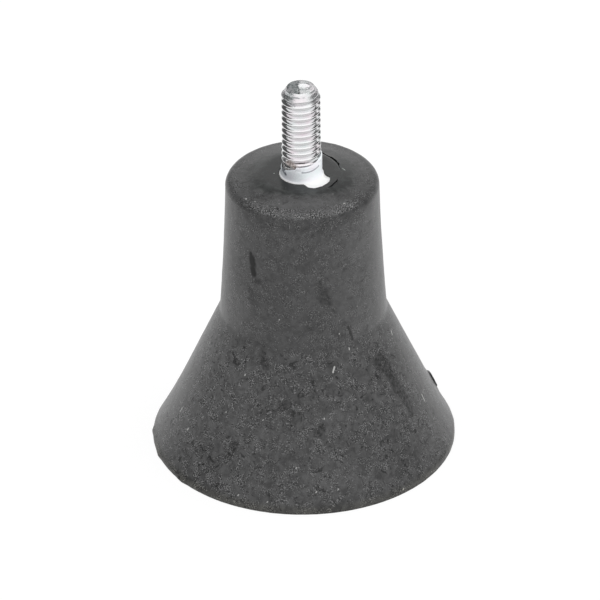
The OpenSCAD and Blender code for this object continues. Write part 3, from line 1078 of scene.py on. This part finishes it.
def make_thread_finish():
    """Bright zinc: painted shade in the roots, dirt with painted reflection and shade on the
    sheared end, and stains where rubber has marked it.
    """
    material, tree, output, place, (x, y, z), colour, rough = make_zinc_finish(
        "bright_zinc", grey(0.88, 0.01), 0.17, 0.05)
    times, plus, minus, _, fade = steps(tree)
    x = plus(x, -STUD_ASIDE)
    radius = radius_from(tree, x, y)
    # painted shade: the thread's roots are darkened
    root = times(fade(radius, 4.15, 3.8), fade(z, LEAD_Z, LEAD_Z - 0.2))
    colour = blend_colours(tree, times(root, 0.5), colour, grey(0.30))
    dirt_and_shade, torn = end_dirt_and_shade(tree, place, x, y, z, radius)
    colour = blend_colours(tree, dirt_and_shade, colour, (0.13, 0.16, 0.165, 1.0))
    rough = plus(rough, times(torn, 0.26))
    colour, stain = stain_foot(tree, place, colour)
    metallic = minus(1.0, times(stain, 0.9))
    finish_zinc(tree, output, place, colour, rough, metallic)
    return material


def make_collar_finish():
    """Satin zinc, painted darker on its left side as shade, and clean where the skin used to
    cover it.
    """
    material, tree, output, place, (x, y, _), colour, rough = make_zinc_finish(
        "satin_zinc", (0.94, 0.97, 1.0, 1.0), 0.45, 0.08)
    times, plus, minus, _, fade = steps(tree)
    fine = grain(tree, place, 2.4, 3.0, 0.6)
    across = plus(x, fade(fine, 0.3, 0.7, -0.5, 0.5))
    radius = radius_from(tree, plus(x, -STUD_ASIDE), y)
    clean = fade(radius, COLLAR_R + 0.05, COLLAR_R + 0.4)
    # painted shade: the left side is darkened, away from the light on the right
    dull = minus(fade(across, 1.5, -4.2), clean, clamp=True)
    colour = blend_colours(tree, times(dull, 0.72), colour, (0.40, 0.43, 0.46, 1.0))
    colour = blend_colours(tree, clean, colour, (0.99, 0.99, 0.98, 1.0))
    dark = marks(tree, place, 2.4, 0.5, [((-4.5, -1.8, 75.0), (-3.9, -3.0, 74.4), 0.55),
                                         ((-4.7, -1.2, 75.2), (-4.2, -2.4, 75.0), 0.65)])
    dark = times(dark, fade(fine, 0.42, 0.66, 0.98, 0.45))
    colour = blend_colours(tree, dark, colour, (0.07, 0.08, 0.10, 1.0))
    scratch = marks(tree, place, 3.0, 0.12,
                    [(on_collar(*start), on_collar(*end), 0.24)
                     for start, end in zip(COLLAR_SCRATCH, COLLAR_SCRATCH[1:])])
    colour = blend_colours(tree, times(scratch, 0.65), colour, (0.20, 0.21, 0.25, 1.0))
    finish_zinc(tree, output, place, colour, rough, 0.06)
    return material


def make_floor_finish():
    """A white sweep that keeps the foot's soft shadow."""
    material, tree, output = new_material("pale_floor")
    place = place_in_mm(tree)[0]
    paper = grain(tree, place, 0.02, 2.0)
    shade = ramp(tree, paper, 0.2, 0.8, 0.86, 0.88, "LINEAR")
    colour = put(tree, "ShaderNodeCombineColor", {0: shade, 1: shade, 2: shade})
    matt = put(tree, "ShaderNodeBsdfDiffuse", {"Color": colour.outputs[0]})
    glow = put(tree, "ShaderNodeEmission", {"Strength": FLOOR_GLOW})
    path = put(tree, "ShaderNodeLightPath").outputs
    seen = calc(tree, "MAXIMUM", path["Is Camera Ray"], path["Is Glossy Ray"])
    mixed = put(tree, "ShaderNodeMixShader", {
        0: calc(tree, "MULTIPLY", seen, GLOW_SHARE), 1: matt.outputs[0],
        2: glow.outputs[0]})
    feed(tree, output.inputs[0], mixed.outputs[0])
    return material


# ---------------------------------------------------------------- studio

def make_studio():
    """A white tent with a dark gap between its wall and the box light above."""
    world = bpy.data.worlds.new("studio")
    bpy.context.scene.world = world
    world.use_nodes = True
    tree = world.node_tree
    tree.nodes.clear()
    towards = put(tree, "ShaderNodeTexCoord").outputs["Generated"]
    x, y, z = put(tree, "ShaderNodeSeparateXYZ", {0: towards}).outputs

    # soft, nearly even light, stronger from low on the right
    times, plus, minus, larger, fade = steps(tree)
    even = plus(fade(x, -0.6, 0.9, 0.94, 1.10), times(fade(x, 0.1, 0.9), fade(z, 0.6, 0.2)))

    # what gloss shows: a white wall behind, dark sides, and box lights above and in front
    around = calc(tree, "ARCTAN2", x, y)
    aside = calc(tree, "ABSOLUTE", around)
    back = fade(aside, 2.1, 1.75)
    side = times(fade(aside, 0.36, 0.50), back)
    above_wall = larger(fade(z, 0.56, 0.62), times(side, fade(z, 0.02, 0.16)))
    dark = times(times(above_wall, back), fade(z, 0.92, 0.80))
    # a narrow light strip on the right breaks the dark side there
    strip = times(fade(around, 0.74, 0.78), fade(around, 0.94, 0.90))
    strip = times(strip, fade(z, 0.20, 0.28))
    shown = minus(1.12, times(times(dark, minus(1.0, strip)), 1.04))

    path = put(tree, "ShaderNodeLightPath").outputs
    level = even
    for kind, seen in (("Is Glossy Ray", shown), ("Is Camera Ray", 1.0)):
        level = put(tree, "ShaderNodeMix", {0: path[kind], 2: level, 3: seen},
                    data_type="FLOAT").outputs[0]
    light = put(tree, "ShaderNodeBackground", {"Color": (1, 1, 1, 1), "Strength": level})
    put(tree, "ShaderNodeOutputWorld", {0: light.outputs[0]})
    world.cycles.sampling_method = "NONE"


def make_floor(material):
    mesh = bpy.data.meshes.new("floor")
    corners = ((-1, -1), (1, -1), (1, 1), (-1, 1))
    mesh.from_pydata([(FLOOR_REACH * x, FLOOR_REACH * y, 0) for x, y in corners],
                     [], [(0, 1, 2, 3)])
    floor = bpy.data.objects.new("floor", mesh)
    bpy.context.collection.objects.link(floor)
    mesh.materials.append(material)


def make_camera():
    elevation = math.radians(CAMERA_ELEVATION)
    roll = math.radians(CAMERA_ROLL)
    target = Vector(CAMERA_TARGET)
    back = Vector((0, -math.cos(elevation), math.sin(elevation)))
    place = target + CAMERA_DISTANCE * back
    right = Vector((1, 0, 0))
    up = Vector((0, math.sin(elevation), math.cos(elevation)))
    aim = target + AIM_RIGHT * right + AIM_UP * up
    back = (place - aim).normalized()
    right = up.cross(back).normalized()
    up = back.cross(right)
    side = math.cos(roll) * right + math.sin(roll) * up
    top = back.cross(side)
    data = bpy.data.cameras.new("camera")
    data.sensor_width = SENSOR
    data.lens = LENS
    data.clip_start = 0.01
    data.clip_end = 20.0
    camera = bpy.data.objects.new("camera", data)
    bpy.context.collection.objects.link(camera)
    turn = Matrix((side, top, back)).transposed().to_4x4()
    camera.matrix_world = Matrix.Translation(place) @ turn
    bpy.context.scene.camera = camera


# ---------------------------------------------------------------- assembly

make_camera()
make_studio()
make_floor(make_floor_finish())

short_mark = mark_tree()
rubber = make_rubber_body(make_rubber_finish())
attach(rubber, "root")
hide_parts("rubber_body")

stud = make_threaded_stud(make_thread_finish(), make_collar_finish())
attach(stud, "root")
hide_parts("threaded_stud")

bpy.context.scene.view_settings.view_transform = "Standard"
